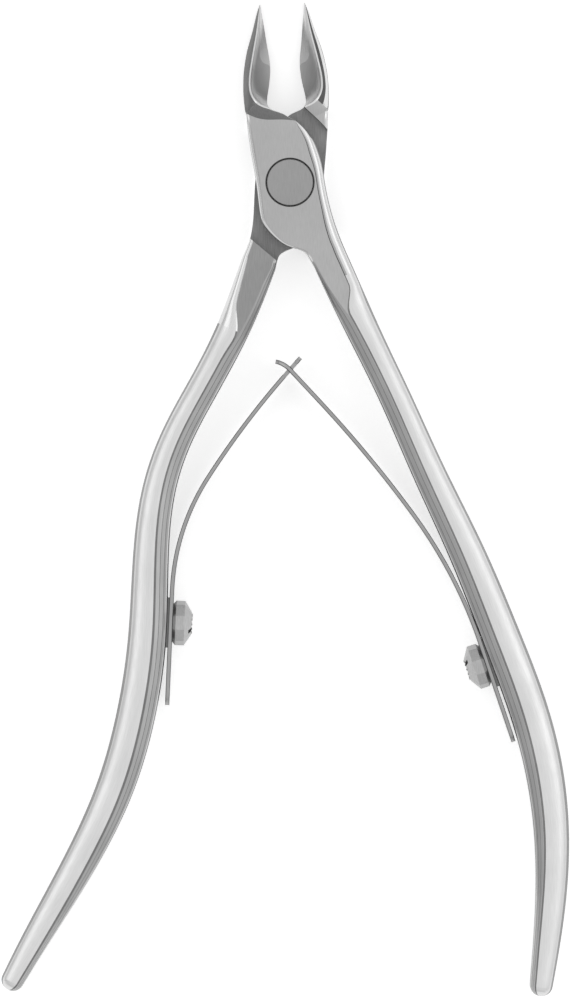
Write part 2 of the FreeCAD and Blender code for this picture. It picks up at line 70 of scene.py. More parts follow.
# %% Two ways to run through points
def spline(keys, values, at):
    """Values on the smoothest curve through the given ones, at the places asked for."""
    k = np.array(keys, float)
    v = np.array(values, float).reshape(len(k), -1)
    h = np.diff(k)
    rows, right = np.eye(len(k)), np.zeros_like(v)
    for i in range(1, len(k) - 1):
        rows[i, i - 1:i + 2] = h[i - 1], 2 * (h[i - 1] + h[i]), h[i]
        right[i] = 6 * ((v[i + 1] - v[i]) / h[i] - (v[i] - v[i - 1]) / h[i - 1])
    bend = np.linalg.solve(rows, right)
    at = np.clip(np.atleast_1d(at), k[0], k[-1])
    i = np.clip(np.searchsorted(k, at, side="right") - 1, 0, len(h) - 1)
    a, b = ((k[i + 1] - at) / h[i])[:, None], ((at - k[i]) / h[i])[:, None]
    curved = ((a ** 3 - a) * bend[i] + (b ** 3 - b) * bend[i + 1]) * (h[i] ** 2 / 6)[:, None]
    return a * v[i] + b * v[i + 1] + curved


def eased(keys, values, at):
    """Numbers on a smooth curve through the given ones that never overshoots them."""
    k, v = np.array(keys, float), np.array(values, float)
    slope = np.diff(v) / np.diff(k)
    tangent = np.zeros(len(v))
    same = slope[:-1] * slope[1:] > 0
    inner = np.zeros(len(slope) - 1)
    inner[same] = 2 * slope[:-1][same] * slope[1:][same] / (slope[:-1] + slope[1:])[same]
    tangent[1:-1] = inner
    at = np.clip(at, k[0], k[-1])
    i = np.clip(np.searchsorted(k, at, side="right") - 1, 0, len(slope) - 1)
    h = np.diff(k)[i]
    t = (at - k[i]) / h
    ends = (1 + 2 * t) * (1 - t) ** 2 * v[i] + t * t * (3 - 2 * t) * v[i + 1]
    return ends + t * (1 - t) ** 2 * h * tangent[i] + t * t * (t - 1) * h * tangent[i + 1]


def rise(share, start, stop):
    """0 before start, 1 after stop, and a smooth rise between."""
    at = np.clip((np.asarray(share, float) - start) / (stop - start), 0, 1)
    return (1 - np.cos(np.pi * at)) / 2


# %% [markdown]
# ## The drawing of one half
# Both halves come from one drawing, because the rear half is the front half's mirror image with its own
# handle. It is drawn closed: the cutting edge lies on the Y axis and the jaw is on the -X side. Each
# handle is a centre line, given as the share of its length and the distance out from the Y axis.

# %% Outlines in the closed drawing
NECK_Y = 9.9
LAP_LEFT = [(-3.8, 8.95), (-3.98, 7.2), (-4.01, 5.4), (-4.02, 3.7), (-4.0, 0.8), (-4.12, -2.2),
            (-4.08, -3.9), (-3.72, -4.85), (-3.1, -5.85), (-2.3, -6.8), (-1.5, -7.45), (-0.45, -7.98),
            (0.25, -8.4), (0.7, -9.0)]
LAP_RIGHT_Y = [7.2, 6.35, 5.2, 3.6, 1.1, -1.6, -3.7, -4.6, -5.3, -6.0, -6.7, -7.4, -8.1, -8.7]
LAP_HEAD = [(1.8, 7.2), (2.4, 6.5), (2.98, 5.7), (3.46, 4.8), (3.8, 3.7), (4.02, 2.5), (4.13, 1.2)]
FACE_SAG = [(0.0, 0.0), (0.12, -0.25), (0.3, -0.42), (0.6, -0.22), (0.8, -0.06), (1.0, 0.0)]

FRONT = {
    "name": "front", "side": 1, "lean": 9.3, "reach": 100.9,
    "line": [(0.0, 3.28), (0.1, 5.8), (0.187, 8.14), (0.299, 10.86), (0.41, 13.75), (0.522, 16.12),
             (0.634, 18.1), (0.746, 18.66), (0.854, 17.46), (0.957, 15.05), (0.988, 14.2)],
    "flank": [(4.13, -0.8), (4.3, -4.0), (4.66, -6.51)],
    "bevel": [(9, 0.42), (4, 0.5), (0, 0.5), (-4, 0.45), (-7, 0.3), (-9, 0.3), (-12, 0.45), (-14.5, 0.8),
              (-17.5, 1.3), (-22, 1.4), (-60, 1.4), (-80, 1.1), (-97, 0.5)],
    "roll": [(7.2, 0.08), (6.3, 0.5), (4.65, 0.9), (2.8, 1.1), (0.25, 1.0), (-3.2, 1.05), (-6.3, 1.27),
             (-8, 1.35), (-13.4, 1.35), (-15, 1.62), (-16.2, 2.0), (-17.6, 2.4), (-20, 2.45)],
    "face_end": (13.5, 17.5),
    "seat": 60.6, "seat_turn": -2.4, "lift": 2.5, "bend": 57.0, "ease": 150.0, "ease_turn": 6.7,
}
REAR = {
    "name": "rear", "side": -1, "lean": 4.4, "reach": 98.9,
    "line": [(0.0, 2.98), (0.1, 5.75), (0.18, 8.82), (0.237, 11.03), (0.296, 12.56), (0.353, 13.16),
             (0.409, 13.19), (0.516, 12.9), (0.62, 13.54), (0.727, 15.56), (0.836, 19.39),
             (0.951, 24.3), (0.988, 25.8)],
    "flank": [(4.16, -1.2), (4.08, -4.0), (4.13, -5.97), (4.4, -7.6)],
    "bevel": [(9, 0.42), (-7, 0.35), (-9.8, 0.5), (-12, 0.75), (-14, 0.8), (-17.6, 1.0), (-22, 1.4),
              (-60, 1.4), (-80, 1.05), (-96, 0.5)],
    "roll": [(7.2, 0.08), (5, 0.4), (-6, 0.45), (-8, 0.5), (-11, 0.8), (-14, 1.1), (-17, 1.6),
             (-19.4, 2.2), (-21, 2.35)],
    "face_end": (15.0, 20.0),
    "seat": 53.7, "seat_turn": 0.1, "lift": 3.9, "bend": 27.0, "ease": 105.0, "ease_turn": 8.6,
}


NECK_WIDE, WAIST_LESS, BELLY_MORE, END_LESS = 4.2, 0.45, 0.9, 2.05
WAIST_AT, BELLY_AT = 0.17, 0.6


def handle_width(share):
    """The handle's width along it: it draws in below the neck, swells, and narrows to its end."""
    width = NECK_WIDE - WAIST_LESS * rise(share, 0, WAIST_AT) + BELLY_MORE * rise(share, WAIST_AT, BELLY_AT)
    return width - END_LESS * (np.maximum(share - BELLY_AT, 0) / (1 - BELLY_AT)) ** 2


def handle_rows(half, shares):
    """The handle's inner edge, its outer edge and its heading, at each share of its length."""
    keys, out = zip(*half["line"])
    run = half["reach"] - NECK_Y
    far = shares * keys[-1]
    x = spline(keys, out, far)[:, 0]
    step = 1e-3
    slope = spline(keys, out, far + step)[:, 0] - spline(keys, out, far - step)[:, 0]
    slope /= (np.clip(far + step, 0, keys[-1]) - np.clip(far - step, 0, keys[-1])) * run
    heading = np.stack([slope, -np.ones_like(slope)], 1)
    heading /= np.linalg.norm(heading, axis=1)[:, None]
    across = np.stack([-heading[:, 1], heading[:, 0]], 1)
    middle = np.stack([x, -NECK_Y - far * run], 1)
    half_width = handle_width(far)[:, None] / 2
    return middle - across * half_width, middle + across * half_width, heading


inner, _, _ = handle_rows(FRONT, np.array([0.0, 0.5, 1.0]))
print("front handle, inner wall at neck, middle and end:", inner.round(2).tolist())

# %% [markdown]
# ## A half as a grid of strips
# A forged and ground half is a bundle of long strips: an edge bevel, the flat joint face, and a rolled
# outer face that becomes the satin front of the handle. A boolean of plain solids would lose those flowing
# creases. So the half is one grid, whose rows run across it and whose columns follow the creases. Each
# grid point has a place in plan, a height on the front and a height on the back.

# %% The cross section
BEVEL_AT = np.array([0, 0.06, 0.16, 0.31, 0.36, 0.66, 0.71, 1.0])
BEVEL_DROP = np.array([0.62, 0.5, 0.42, 0.32, 0.3, 0.13, 0.1, 0])
BEVEL_HANDLE = [4.6, 4.72, 4.82, 4.98, 5.0, 5.27, 5.29, TOP]
FACE_AT = np.linspace(0, 1, 9)[1:]
ROLL_AT = np.concatenate([[0.08], np.linspace(0.14, 0.9, 15), [0.95, 1.0]])
ROLL_JOINT = ([0, 0.05, 0.14, 0.3, 0.5, 0.7, 0.85, 0.94, 1.0],
              [0, -0.14, -0.13, -0.1, -0.16, -0.36, -0.6, -0.8, -1.0])
ROLL_HANDLE = ([0, 0.08, 0.2, 0.35, 0.5, 0.62, 0.74, 0.84, 0.92, 1.0],
               [0, -0.06, -0.03, -0.05, -0.12, -0.21, -0.37, -0.58, -0.86, -1.3])
BEVEL_COLUMNS = len(BEVEL_AT) - 1
FACE_COLUMNS = len(FACE_AT)
ROLL_COLUMNS = len(ROLL_AT)


def strip_places(width, bevel, roll):
    """Distances across a row, from its left edge, of all the columns."""
    face = width - bevel - roll
    return np.concatenate([BEVEL_AT * bevel, bevel + FACE_AT * face, bevel + face + ROLL_AT * roll])


def strip_heights(handle, bevel, roll):
    """Front heights across a row. handle is 0 on the joint and 1 on the handle."""
    bevel = (TOP - BEVEL_DROP * min(1, bevel / 0.6)) * (1 - handle) + np.array(BEVEL_HANDLE) * handle
    face = np.full(FACE_COLUMNS, TOP)
    joint = eased(*ROLL_JOINT, ROLL_AT) * min(1, roll) * 0.75
    rolled = TOP + joint * (1 - handle) + eased(*ROLL_HANDLE, ROLL_AT) * handle
    return np.concatenate([bevel, face, rolled])


print("columns across a half:", BEVEL_COLUMNS + FACE_COLUMNS + ROLL_COLUMNS)

# %% Rows from the joint face down to the handle's round end
LAP_ROWS = 72
HANDLE_ROWS = 150
END_LEANS = np.radians([12, 24, 36, 48, 58, 67, 75, 82])
END_THICK, END_SOFT = 4.4, 0.8  # the round end is thinner, and its rim is softened
HANDLE_FROM, HANDLE_FULL = 10.5, 18.5  # below the pivot, where the joint's section turns to the handle's
HEEL_IN, HEEL_OUT, HEEL_LESS = (3, 5), (8.5, 11), 0.6  # the front half's heel has a weaker bevel
BEVEL_GROWS, ROLL_GROWS = 5, 20  # rows from the jaw down in which each edge takes its shape
SAG_SHARE = 0.18
DIP_AT, DIP_SIZE, DIP_DEPTH = np.array([0.5, -8.3]), np.array([1.7, 1.1]), 0.16


def lap_edges(half, at):
    """The left and right outline of the joint, at each place from 0 at the jaw to 1 at the neck."""
    neck_in, neck_out, _ = handle_rows(half, np.array([0.0, 0.1]))
    left = np.array(LAP_LEFT + [tuple(neck_in[0])])
    outline = np.array(LAP_HEAD + half["flank"] + [tuple(neck_out[0])])[::-1]
    right_y = np.array(LAP_RIGHT_Y + [neck_out[0][1]])
    keys = np.arange(len(left)) / (len(left) - 1)
    y = spline(keys, right_y, at)[:, 0]
    x = spline(outline[:, 1], outline[:, 0], y)[:, 0]
    return spline(keys, left, at), np.stack([x, y], 1)


def round_end(inner, outer, heading):
    """Both edges of the rows that round off the handle, and how much of the thickness each keeps."""
    half_width = np.linalg.norm(outer - inner) / 2
    lean = END_LEANS[:, None]
    middle = (inner + outer) / 2 + heading * half_width * np.sin(lean)
    reach = (outer - inner) / 2 * np.cos(lean)
    return middle - reach, middle + reach, 1 - (1 - np.cos(END_LEANS)) * END_SOFT


def lever_grid(half):
    """Plan points, heights and places along the grain of the joint and the handle, row by row."""
    at = np.linspace(0, 1, LAP_ROWS + 1)
    lap_left, lap_right = lap_edges(half, at)
    inner, outer, heading = handle_rows(half, np.linspace(0, 1, HANDLE_ROWS + 1))
    end_left, end_right, end_scale = round_end(inner[-1], outer[-1], heading[-1])
    left = np.concatenate([lap_left, inner[1:], end_left])
    right = np.concatenate([lap_right, outer[1:], end_right])
    body_scale = np.concatenate([np.ones(len(left) - len(end_scale)), end_scale])
    sag = np.concatenate([(1 - np.minimum(at / SAG_SHARE, 1)) ** 2, np.zeros(len(left) - len(at))])
    share = np.clip((-(left + right)[:, 1] / 2 - NECK_Y) / (half["reach"] - NECK_Y), 0, 1)
    thickness = (TOP - (TOP - END_THICK) * rise(share, BELLY_AT, 1)) / TOP * body_scale
    bevel_key, bevel_width = zip(*half["bevel"][::-1])
    roll_key, roll_width = zip(*half["roll"][::-1])
    plan, top, grain, length = [], [], [], 0.0
    for i, (a, b) in enumerate(zip(left, right)):
        width = np.linalg.norm(b - a)
        y = (a[1] + b[1]) / 2
        handle = float(rise(-y, HANDLE_FROM, HANDLE_FULL))
        shrink = width / handle_width(share[i]) if i > LAP_ROWS + HANDLE_ROWS else 1.0
        bevel = float(eased(bevel_key, bevel_width, y)) * shrink
        roll = float(eased(roll_key, roll_width, b[1] if i < LAP_ROWS else y)) * shrink
        roll += max(width - bevel - roll, 0) * float(rise(-y, *half["face_end"]))
        roll = min(roll, width - bevel - 0.05 * shrink)
        places = strip_places(width, bevel, roll)
        row = a + (b - a) * (places / width)[:, None]
        row[:, 1] += spline(*zip(*FACE_SAG), places / width)[:, 0] * sag[i]
        heights = strip_heights(handle, bevel, roll)
        heel = float(rise(-y, *HEEL_IN) - rise(-y, *HEEL_OUT)) * (half["side"] > 0)
        bevel_fall, roll_fall = heights[:BEVEL_COLUMNS] - TOP, heights[-ROLL_COLUMNS:] - TOP
        heights[:BEVEL_COLUMNS] = TOP + bevel_fall * float(rise(i, -1, BEVEL_GROWS)) * (1 - HEEL_LESS * heel)
        heights[-ROLL_COLUMNS:] = TOP + roll_fall * float(rise(i, -1, ROLL_GROWS))
        dip = DIP_DEPTH * np.exp(-np.sum(((row - DIP_AT) / DIP_SIZE) ** 2, 1))
        heights = np.where(heights > TOP - 0.05, heights - dip, heights)
        plan.append(row)
        top.append(MIDDLE + (heights - MIDDLE) * thickness[i])
        length += np.linalg.norm((a + b) / 2 - (left[i - 1] + right[i - 1]) / 2) if i else 0
        grain.append(np.stack([places, np.full(len(places), length)], 1))
    return np.array(plan), np.array(top), np.array(grain)


plan, top, grain = lever_grid(FRONT)
print("grid of the front lever:", plan.shape[:2], "front heights", top.min().round(2), top.max().round(2))

# %% [markdown]
# ## The jaw
# The jaw's front is a hollow, ground with a round wheel. It is held between a thin rim and the cutting edge,
# and outside the rim the jaw falls away to its back. The foot of the hollow curls round to the notch
# between the jaws. Ribs across the jaw say where its outer side, its rim and its inner side are, and the
# rows between them follow. Where the rim meets the notch the hollow has no width, and its columns meet.

# %% Ribs of the jaw, from the notch to the tip
JAW_RIBS = [  # outer side, rim, inner side
    ((1.80, 7.20), (1.72, 7.28), (1.72, 7.28)),
    ((1.10, 7.42), (1.12, 7.72), (1.12, 7.72)),
    ((0.30, 7.55), (0.40, 8.33), (0.40, 8.33)),
    ((-0.60, 7.71), (-0.42, 8.76), (-0.42, 8.76)),
    ((-1.75, 7.90), (-0.98, 9.12), (-0.90, 9.12)),
    ((-2.90, 8.24), (-1.75, 9.52), (-1.10, 9.45)),
    ((-3.80, 8.95), (-2.35, 10.05), (-1.15, 9.90)),
    ((-3.90, 10.1), (-2.78, 10.8), (-1.06, 10.5)),
    ((-3.80, 11.4), (-2.97, 11.7), (-0.80, 11.35)),
    ((-3.60, 12.7), (-2.84, 12.9), (-0.42, 12.6)),
    ((-3.30, 14.1), (-2.45, 14.3), (-0.05, 14.5)),
    ((-2.55, 16.4), (-1.72, 16.5), (-0.04, 16.5)),
    ((-1.60, 18.5), (-1.02, 18.6), (-0.04, 18.6)),
    ((-0.72, 20.6), (-0.45, 20.6), (-0.04, 20.6)),
    ((-0.1, 21.8), (-0.07, 21.83), (-0.04, 21.85)),
]
CORNER_RIB = 6
OPEN_FROM, LEAST_HOLLOW = 3.0, 0.02  # up to this rib, or under this width, there is no hollow
RIM_HEIGHT = [5.52, 5.6, 5.72, 5.85, 5.92, 5.95, 5.92, 5.6, 5.2, 4.75, 4.25, 3.45, 2.65, 1.85, 1.45]
EDGE_HEIGHT = [5.5, 5.55, 5.6, 5.65, 5.3, 4.1, 3.0, 2.4, 1.85, 1.45, 1.2, 1.05, 0.95, 0.85, 0.8]
SIDE_HEIGHT = [5.5, 5.5, 5.5, 5.5, 5.5, 5.45, 4.9, 4.5, 4.1, 3.7, 3.3, 2.6, 2.0, 1.35, 1.1]
BACK_HEIGHT = [0, 0, 0, 0, 0, 0.1, 0.6, 0.8, 0.9, 0.9, 0.85, 0.75, 0.6, 0.45, 0.35]
BAND_AT = np.array([0, 0.08, 0.2, 0.34, 0.48, 0.62, 0.74, 0.84, 0.92, 1.0])
HOLLOW_COLUMNS = 14
HONED_COLUMNS = 3
RIM_WIDTH = 0.14
HONED_WIDTH = [(0, 0), (9.95, 0), (10.02, 0.35), (10.15, 0.75), (10.35, 1.02), (10.7, 1.15), (14, 1.1)]
TIP_ROWS = 56


def jaw_grid(row_plan, row_top):
    """The jaw's grid. Its first rows start on the points of the joint's first row."""
    ribs = np.array(JAW_RIBS)
    keys = np.arange(len(ribs))
    fine = np.linspace(0, CORNER_RIB, 400)
    path = spline(keys, ribs[:, 0], fine)
    run = np.concatenate([[0], np.cumsum(np.linalg.norm(np.diff(path, axis=0), axis=1))])
    start = row_plan[::-1]
    wanted = np.concatenate([[0], np.cumsum(np.linalg.norm(np.diff(start, axis=0), axis=1))])
    first = np.interp(wanted / wanted[-1] * run[-1], run, fine)
    at = np.concatenate([first, np.linspace(CORNER_RIB, keys[-1], TIP_ROWS + 1)[1:]])
    outer, rim, inner = (spline(keys, ribs[:, i], at) for i in range(3))
    outer[:len(start)] = start
    heights = [eased(keys, values, at) for values in (SIDE_HEIGHT, RIM_HEIGHT, EDGE_HEIGHT, BACK_HEIGHT)]
    side, ridge, edge, back = heights
    side[:len(start)] = row_top[::-1]
    back[:len(start)] = TOP - row_top[::-1]
    honed_key, honed_width = zip(*HONED_WIDTH)
    plan, top, bottom = [], [], []
    for i, s in enumerate(at):
        reach = np.linalg.norm(inner[i] - rim[i])
        if s <= OPEN_FROM or reach < LEAST_HOLLOW:
            rim[i] = inner[i]
            reach = 0.0
        lip = min(RIM_WIDTH, reach * 0.25)
        honed = min(float(np.interp(s, honed_key, honed_width)), reach * 0.55)
        hollow = np.linspace(0, 1, HOLLOW_COLUMNS + 1)
        shares = np.concatenate([[0], lip + (reach - lip - honed) * hollow,
                                 reach - honed + honed * np.linspace(0, 1, HONED_COLUMNS + 1)[1:]])
        shares = shares / reach if reach else np.zeros(len(shares))
        band = outer[i] + (rim[i] - outer[i]) * BAND_AT[:, None]
        scoop = rim[i] + (inner[i] - rim[i]) * shares[1:, None]
        fall = ridge[i] - edge[i]
        depth = np.maximum(shares[1:] - lip / max(reach, 1e-6), 0)
        curve = 0.5 * (1 - np.sqrt(np.clip(1 - (1 - depth) ** 2, 0, 1))) + 0.5 * (1 - depth)
        floor = edge[i] + fall * curve
        lift = (ridge[i] - side[i]) * (1 - (1 - BAND_AT) ** 1.5)
        plan.append(np.vstack([band, scoop]))
        top.append(np.concatenate([side[i] + lift, floor if reach else np.full(len(floor), ridge[i])]))
        fade = np.clip(1 - BAND_AT / 0.7, 0, 1) ** 2
        bottom.append(np.concatenate([back[i] * fade, np.zeros(len(scoop))]))
    return np.array(plan), np.array(top), np.array(bottom)


jaw_plan, _, _ = jaw_grid(plan[0], top[0])
print("grid of the jaw:", jaw_plan.shape[:2], "reaches y =", jaw_plan[..., 1].max().round(2))

# %% [markdown]
# ## Steel finishes
# All of the nipper is stainless steel, and only the last wheel differs from place to place. A satin belt
# leaves fine lines along the handles. A soft mop leaves bright bevels. The recesses are coarser ground, and
# their darker colour is painted shade; darker copies of the steel also paint shade on edges, creases and
# walls.
# Each finish is a material with metallic 1: its colour says how much light the tooth of the surface gives
# back, and stretched noise in millimetres lays the wheel's lines on it.

# %% One way to add a node
def node(tree, kind, place, links=(), **settings):
    """Adds a node, sets its properties or input values, and links outputs into its inputs."""
    made = tree.nodes.new(kind)
    made.location = place
    for name, value in settings.items():
        if name in made.inputs:
            made.inputs[name].default_value = value
        else:
            setattr(made, name, value)
    for source, output, target in links:
        tree.links.new(source.outputs[output], made.inputs[target])
    return made


def linear(hex_colour):
    """An sRGB colour as written, turned to the linear values that a shader takes."""
    parts = [int(hex_colour[i:i + 2], 16) / 255 for i in (1, 3, 5)]
    return tuple(p / 12.92 if p <= 0.04045 else ((p + 0.055) / 1.055) ** 2.4 for p in parts) + (1.0,)


def steel(name, light, dark, roughness, line_mm, run_mm, turn=0.0, follow=False, bump=0.02):
    """Ground steel: lines of line_mm width that run run_mm along, light to dark, and slightly raised."""
    material = bpy.data.materials.new(name)
    material.use_nodes = True
    tree = material.node_tree
    shader = tree.nodes["Principled BSDF"]
    shader.inputs["Metallic"].default_value = 1.0
    where = node(tree, "ShaderNodeTexCoord", (-1100, 0))
    across, along = 1 / line_mm, 1 / run_mm
    scale = (across, along, across) if follow else (across / MM, along / MM, across / MM)
    laid = node(tree, "ShaderNodeMapping", (-900, 0), [(where, "UV" if follow else "Object", "Vector")],
                Rotation=(0, 0, math.radians(turn)), Scale=scale)
    lines = node(tree, "ShaderNodeTexNoise", (-700, 80), [(laid, "Vector", "Vector")],
                 Scale=1.0, Detail=3.0, Roughness=0.6)
    cloud = node(tree, "ShaderNodeTexNoise", (-700, -220), [(where, "Object", "Vector")],
                 Scale=0.16 / MM, Detail=2.0)
    both = node(tree, "ShaderNodeMix", (-500, 0), [(lines, "Fac", "A"), (cloud, "Fac", "B")], Factor=0.35)
    tone = node(tree, "ShaderNodeValToRGB", (-300, 100), [(both, "Result", "Fac")])
    tone.color_ramp.elements[0].position, tone.color_ramp.elements[1].position = 0.3, 0.7
    tone.color_ramp.elements[0].color, tone.color_ramp.elements[1].color = linear(dark), linear(light)
    tree.links.new(tone.outputs["Color"], shader.inputs["Base Color"])
    spread = {"From Min": 0.3, "From Max": 0.7, "To Min": roughness * 1.15, "To Max": roughness * 0.85}
    rough = node(tree, "ShaderNodeMapRange", (-300, -160), [(both, "Result", "Value")], **spread)
    tree.links.new(rough.outputs["Result"], shader.inputs["Roughness"])
    raised = node(tree, "ShaderNodeBump", (-300, -420), [(lines, "Fac", "Height")],
                  Strength=0.35, Distance=bump * MM)
    tree.links.new(raised.outputs["Normal"], shader.inputs["Normal"])
    return material


SATIN = steel("satin_ground_stainless", "#DCDCDC", "#CECECE", 0.34, 0.12, 2.2, follow=True)
BEVEL = steel("belt_ground_bevel", "#B0B0B0", "#9E9E9E", 0.32, 0.1, 3.0, follow=True)
FACE = steel("flat_ground_joint_face", "#B6B6B6", "#A8A8A8", 0.36, 0.1, 1.2, turn=8)
POLISHED = steel("mopped_edge", "#DCDCDC", "#D0D0D0", 0.22, 0.15, 2.5, follow=True, bump=0.008)
# Painted shade: a dark grey steel laid on outer edges, creases, side walls, the boss and the leaves' rolled
# edges, where shade falls or the surface turns away.
PAINTED_SHADE = steel("painted_shade_steel", "#7C7C7C", "#6A6A6A", 0.4, 0.08, 1.5)
HOLLOW = steel("hollow_ground_jaw", "#BCBCBC", "#B2B2B2", 0.34, 0.09, 1.8)
HONED = steel("honed_cutting_edge", "#D4D4D4", "#CACACA", 0.3, 0.08, 0.5)
# Coarser ground steel with painted shade: a darker colour for the lap recess, the bores and the screw slots,
# where shade falls.
RECESS_GRIND_AND_SHADE = steel("ground_recess_and_painted_shade", "#8E8E8E", "#747474", 0.42, 0.09, 1.6, turn=40)
# Painted shade, the darkest: the crease along the joint's roll and the band that falls away inside the rear
# jaw.
PAINTED_DEEP_SHADE = steel("painted_deep_shade_steel", "#626262", "#505050", 0.5, 0.1, 1.0)
# A darker grey facet on the rear half's face near its neck, and painted shade on the roll's outermost strips
# and the rear jaw's outer edge.
GREY_FACET_AND_EDGE_SHADE = steel("grey_facet_and_painted_edge_shade", "#9C9C9C", "#8C8C8C", 0.38, 0.1, 1.4, turn=-25)
FINISHES = [SATIN, BEVEL, FACE, POLISHED, PAINTED_SHADE, HOLLOW, HONED, RECESS_GRIND_AND_SHADE, PAINTED_DEEP_SHADE, GREY_FACET_AND_EDGE_SHADE]
print("finishes:", [m.name for m in FINISHES])

# %% [markdown]
# ## From grids to a closed solid
# The two grids share a row of points, so they are one skin. The back is the same skin at the back's
# heights, turned over, and a wall joins them round the outline. Faces along one column get one finish.

# %% Skin, back and wall
def jaw_finish(column, row, rear):
    """The finish of a jaw face: a side painted dark as shade, a bright rim, the hollow, and the honed edge.
    """
    band = len(BAND_AT) - 1
    shared = BEVEL_COLUMNS + FACE_COLUMNS + ROLL_COLUMNS
    if column > band:
        return HONED if column > band + HOLLOW_COLUMNS else HOLLOW
    if column >= band - 1:
        return POLISHED
    if rear and row > shared:
        # On the rear jaw past the joint, the outer edge and the falling band are painted shade.
        return GREY_FACET_AND_EDGE_SHADE if column == 0 else POLISHED if column < band - 5 else PAINTED_DEEP_SHADE
    # The jaw's outer band, which falls away to its back, is painted dark as shade.
    return BEVEL if rear and row > shared - BEVEL_COLUMNS - FACE_COLUMNS else PAINTED_SHADE


def lever_finish(column, row, rear):
    """The finish of a face of the joint or the handle, from its inner edge to its outer edge."""
    on_joint = row < LAP_ROWS + 4
    if column < BEVEL_COLUMNS:
        # The first column, at the inner edge, is a painted dark line of shade; on the handle two more
        # painted lines of shade part the bevel's facets.
        joint = [PAINTED_SHADE, POLISHED, POLISHED, POLISHED, POLISHED, POLISHED, BEVEL]
        handle = [PAINTED_SHADE, SATIN, BEVEL, PAINTED_SHADE, BEVEL, PAINTED_SHADE, BEVEL]
        return (joint if row < LAP_ROWS - 2 else handle)[column]
    column -= BEVEL_COLUMNS
    if column < FACE_COLUMNS:
        return GREY_FACET_AND_EDGE_SHADE if rear and row > LAP_ROWS * 0.7 else FACE
    column -= FACE_COLUMNS
    if rear and row < LAP_ROWS + 14:
        return POLISHED
    # The crease at the roll's inner side is painted dark, as shade.
    if column == 0:
        return PAINTED_DEEP_SHADE if on_joint else PAINTED_SHADE
    # The roll's outermost strips, where it turns away, are painted darker as shade.
    if column >= ROLL_COLUMNS - 2:
        return GREY_FACET_AND_EDGE_SHADE
    if on_joint:
        return BEVEL if column < 4 else POLISHED
    return SATIN


def grid_faces(bm, grids, uv, rear):
    """Adds the faces of the grids of vertices, each with its finish and its place along the grain."""
    for verts, grain, is_jaw in grids:
        rows, columns = len(verts), len(verts[0])
        for i in range(rows - 1):
            for j in range(columns - 1):
                corners = [(i, j), (i, j + 1), (i + 1, j + 1), (i + 1, j)]
                ring = []
                for a, b in corners:
                    if verts[a][b] not in [v for v, _ in ring]:
                        ring.append((verts[a][b], grain[a][b]))
                if len(ring) < 3:
                    continue
                face = bm.faces.get([v for v, _ in ring]) or bm.faces.new([v for v, _ in ring])
                finish = jaw_finish(j, i, rear) if is_jaw else lever_finish(j, i, rear)
                face.material_index = FINISHES.index(finish)
                for loop, (_, place) in zip(face.loops, ring):
                    loop[uv].uv = place


HANDLE_WALL_Y = -8


def solid_half(half):
    """The whole half as one closed mesh in the closed drawing, in millimetres, before its cuts."""
    plan, top, grain = lever_grid(half)
    jaw_plan, jaw_top, jaw_bottom = jaw_grid(plan[0], top[0])
    bottom = TOP - top
    rear = half["side"] < 0
    bm = bmesh.new()
    uv = bm.loops.layers.uv.new("grain")
    skins = []
    for lever_z, jaw_z in ((top, jaw_top), (bottom, jaw_bottom)):
        lever = [[bm.verts.new((*p, z)) for p, z in zip(row, heights)]
                 for row, heights in zip(plan, lever_z)]
        jaw = []
        for i, (row, heights) in enumerate(zip(jaw_plan, jaw_z)):
            line, known = [], {}
            for j, (p, z) in enumerate(zip(row, heights)):
                key = (round(p[0], 5), round(p[1], 5))
                if j == 0 and i < len(plan[0]):
                    vert = lever[0][len(plan[0]) - 1 - i]
                else:
                    vert = known.get(key) or bm.verts.new((*p, z))
                known[key] = vert
                line.append(vert)
            jaw.append(line)
        grid_faces(bm, [(lever, grain, False), (jaw, jaw_plan, True)], uv, rear)
        skins.append((lever, jaw))
    partner = {}
    for front_grid, back_grid in zip(*skins):
        for front_row, back_row in zip(front_grid, back_grid):
            partner.update(zip(front_row, back_row))
    outline = [e for e in bm.edges if len(e.link_faces) == 1 and all(v in partner for v in e.verts)]
    for edge in outline:
        a, b = edge.verts
        wall = bm.faces.new([a, b, partner[b], partner[a]])
        # Walls round the jaw and the joint are painted dark as shade; the handle's walls take the bevel's
        # steel.
        wall.material_index = FINISHES.index(BEVEL if a.co.y < HANDLE_WALL_Y else PAINTED_SHADE)
    bmesh.ops.dissolve_degenerate(bm, dist=1e-6, edges=bm.edges)
    bmesh.ops.recalc_face_normals(bm, faces=bm.faces)
    open_edges = sum(1 for e in bm.edges if len(e.link_faces) != 2)
    print(half["name"], "half:", len(bm.faces), "faces,", open_edges, "open edges")
    return bm


# %% [markdown]
# ## The cuts
# The lap recess, the seat of the pivot's head and the spring's seat are cuts and a boss made after forging,
# so here a boolean is the right tool. Each cutter carries the finish of the face that it leaves.

# %% Cutters and the boolean
JAW_SHOULDER = [(-5.2, 5.45), (-3.9, 6.75), (-2.9, 7.65), (-1.9, 8.45), (-1.25, 8.95), (-0.6, 9.6)]
RECESS_REST = [(2.5, 9.6), (6.5, 5.0), (6.5, -5.46), (0.3, -9.89), (-6.5, -9.89), (-6.5, 5.45)]
LAP_GAP = 0.06
HEAD_RADIUS, HEAD_DEPTH, PIN_RADIUS, FOOT_RADIUS = 2.78, 1.6, 2.0, 1.45
HEAD_PLAY, PIN_PLAY, FOOT_PLAY = 0.1, 0.03, 0.02
RIM_BREAK = 0.08
ROUND_SIDES = 128


def mesh_object(name, bm, materials):
    """A new object of this mesh, with its finishes in order."""
    mesh = bpy.data.meshes.new(name)
    bm.to_mesh(mesh)
    bm.free()
    for material in materials:
        mesh.materials.append(material)
    made = bpy.data.objects.new(name, mesh)
    bpy.context.scene.collection.objects.link(made)
    return made


